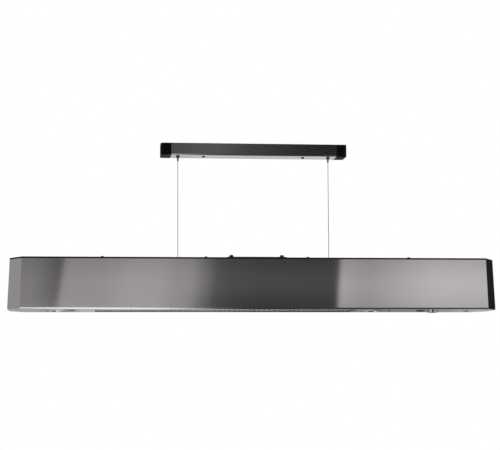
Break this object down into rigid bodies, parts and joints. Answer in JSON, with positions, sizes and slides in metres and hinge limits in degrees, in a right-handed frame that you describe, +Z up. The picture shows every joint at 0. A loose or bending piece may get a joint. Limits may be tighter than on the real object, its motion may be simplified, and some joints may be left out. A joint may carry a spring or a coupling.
{
  "type": "heat lamp warmer",
  "caption": "Linear infrared food warmer in a long tapered brushed-steel housing with downlights, knob and button beneath, hung on wires from a short ceiling bar.",
  "frame": {"origin": "middle of the ceiling plate's top face, where the bar meets the ceiling", "axes": "+X along the lamp, +Y to the back, +Z up"},
  "size_m": [1.2058, 0.205, 0.419],
  "materials": {
    "brushed_steel": "long-grain brushed",
    "black_sheet": "satin black powder coat",
    "bar_steel": "fine brushed, satin",
    "black_plastic": "moulded, fine texture",
    "zinc_steel": "zinc plated",
    "black_screw": "blackened",
    "wire_steel": "stranded stainless",
    "nickel": "satin nickel",
    "brass": "turned",
    "guard_steel": "drawn wire",
    "reflector_aluminium": "polished",
    "shield_aluminium": "mill finish",
    "ceramic": "unglazed",
    "quartz": "clear",
    "filament": "wound",
    "lens": "frosted",
    "can_aluminium": "die cast",
    "board": "solder mask",
    "chrome_knob": "satin chrome",
    "grey_plastic": "moulded",
    "amber_lens": "moulded, deep tint",
    "white_plastic": "moulded",
    "seal_rubber": "matt",
    "loom_sleeve": "braided glass sleeve"
  },
  "bodies": {
    "root": {"ceiling_plate": "zinc_steel", "gripper_saddles": "zinc_steel", "bar_cover": "bar_steel", "bar_end_cap_left": "black_plastic", "bar_end_cap_right": "black_plastic", "cover_posts": "zinc_steel", "cover_screws": "black_screw", "gripper_sockets": "nickel", "gripper_nuts": "brass", "wire_clamp_screws": "brass", "wire_tails": "wire_steel"},
    "swivels": {"gripper_swivels": "nickel", "wire_cores": "wire_steel"},
    "left_wire": {"wire_left": "wire_steel"},
    "right_wire": {"wire_right": "wire_steel"},
    "left_wire_end": {"wire_ball_left": "nickel"},
    "right_wire_end": {"wire_ball_right": "nickel"},
    "hangers": {"hanger_barrels": "zinc_steel"},
    "lamp": {"hanger_brackets": "zinc_steel", "wire_bushes": "black_plastic", "housing_shell": "brushed_steel", "top_cover": "black_sheet", "top_cover_screws": "black_screw", "junction_cover": "black_sheet", "junction_bolts": "black_screw", "bottom_panel": "brushed_steel", "bottom_panel_screws": "zinc_steel", "guard_wires": "guard_steel", "guard_frame": "zinc_steel", "guard_screws": "zinc_steel", "reflector": "reflector_aluminium", "reflector_ends": "reflector_aluminium", "lamp_holders": "ceramic", "lamp_ends": "ceramic", "infrared_tubes": "quartz", "infrared_filaments": "filament", "heat_shield": "shield_aluminium", "downlight_bezels": "nickel", "downlight_lenses": "lens", "downlight_cans": "can_aluminium", "downlight_boards": "board", "knob_cup": "nickel", "regulator": "grey_plastic", "regulator_nut": "brass", "power_switch": "black_plastic", "power_switch_nut": "brass", "pilot_lamp": "nickel", "pilot_lens": "amber_lens", "downlight_driver": "white_plastic", "terminal_block": "white_plastic", "earth_stud": "brass", "heat_baffles": "shield_aluminium", "cable_gland": "black_plastic", "gland_cap": "black_plastic", "gland_seal": "seal_rubber", "gland_nut": "black_plastic", "wiring_loom": "loom_sleeve"},
    "knob": {"control_knob": "chrome_knob", "knob_shaft": "brass"},
    "button": {"power_button": "black_plastic"}
  },
  "joints": [
    {"name": "swing_fore_aft", "type": "hinge", "parent": "root", "child": "swivels", "pos_m": [0, 0, -0.0309], "axis": [1, 0, 0], "range_deg": [-12, 12]},
    {"name": "sway_sideways", "type": "hinge", "parent": "swivels", "child": "left_wire", "pos_m": [-0.189, 0, -0.0395], "axis": [0, 1, 0], "range_deg": [-8, 8]},
    {"name": "right_wire_sway", "type": "hinge", "parent": "swivels", "child": "right_wire", "pos_m": [0.189, 0, -0.0395], "axis": [0, 1, 0], "range_deg": [-8, 8]},
    {"name": "height_adjust", "type": "slide", "parent": "left_wire", "child": "left_wire_end", "axis": [0, 0, 1], "range_m": [0, 0.15], "deforming": ["wire_left"]},
    {"name": "right_wire_height", "type": "slide", "parent": "right_wire", "child": "right_wire_end", "axis": [0, 0, 1], "range_m": [0, 0.15], "deforming": ["wire_right"]},
    {"name": "hanger_level", "type": "hinge", "parent": "left_wire_end", "child": "hangers", "pos_m": [-0.189, 0, -0.304], "axis": [0, 1, 0], "range_deg": [-8, 8]},
    {"name": "lamp_rock", "type": "hinge", "parent": "hangers", "child": "lamp", "pos_m": [0, 0, -0.304], "axis": [1, 0, 0], "range_deg": [-12, 12]},
    {"name": "knob_turn", "type": "hinge", "parent": "lamp", "child": "knob", "pos_m": [0.45, 0, -0.414], "axis": [0, 0, -1], "range_deg": [0, 270]},
    {"name": "button_press", "type": "slide", "parent": "lamp", "child": "button", "axis": [0, 0, 1], "range_m": [0, 0.003], "stiffness_N_per_m": 900, "springref_m": -0.001}
  ],
  "couplings": [
    {"joint": "right_wire_sway", "follows": "sway_sideways", "ratio": 1},
    {"joint": "hanger_level", "follows": "sway_sideways", "ratio": -1},
    {"joint": "right_wire_height", "follows": "height_adjust", "ratio": 1}
  ]
}
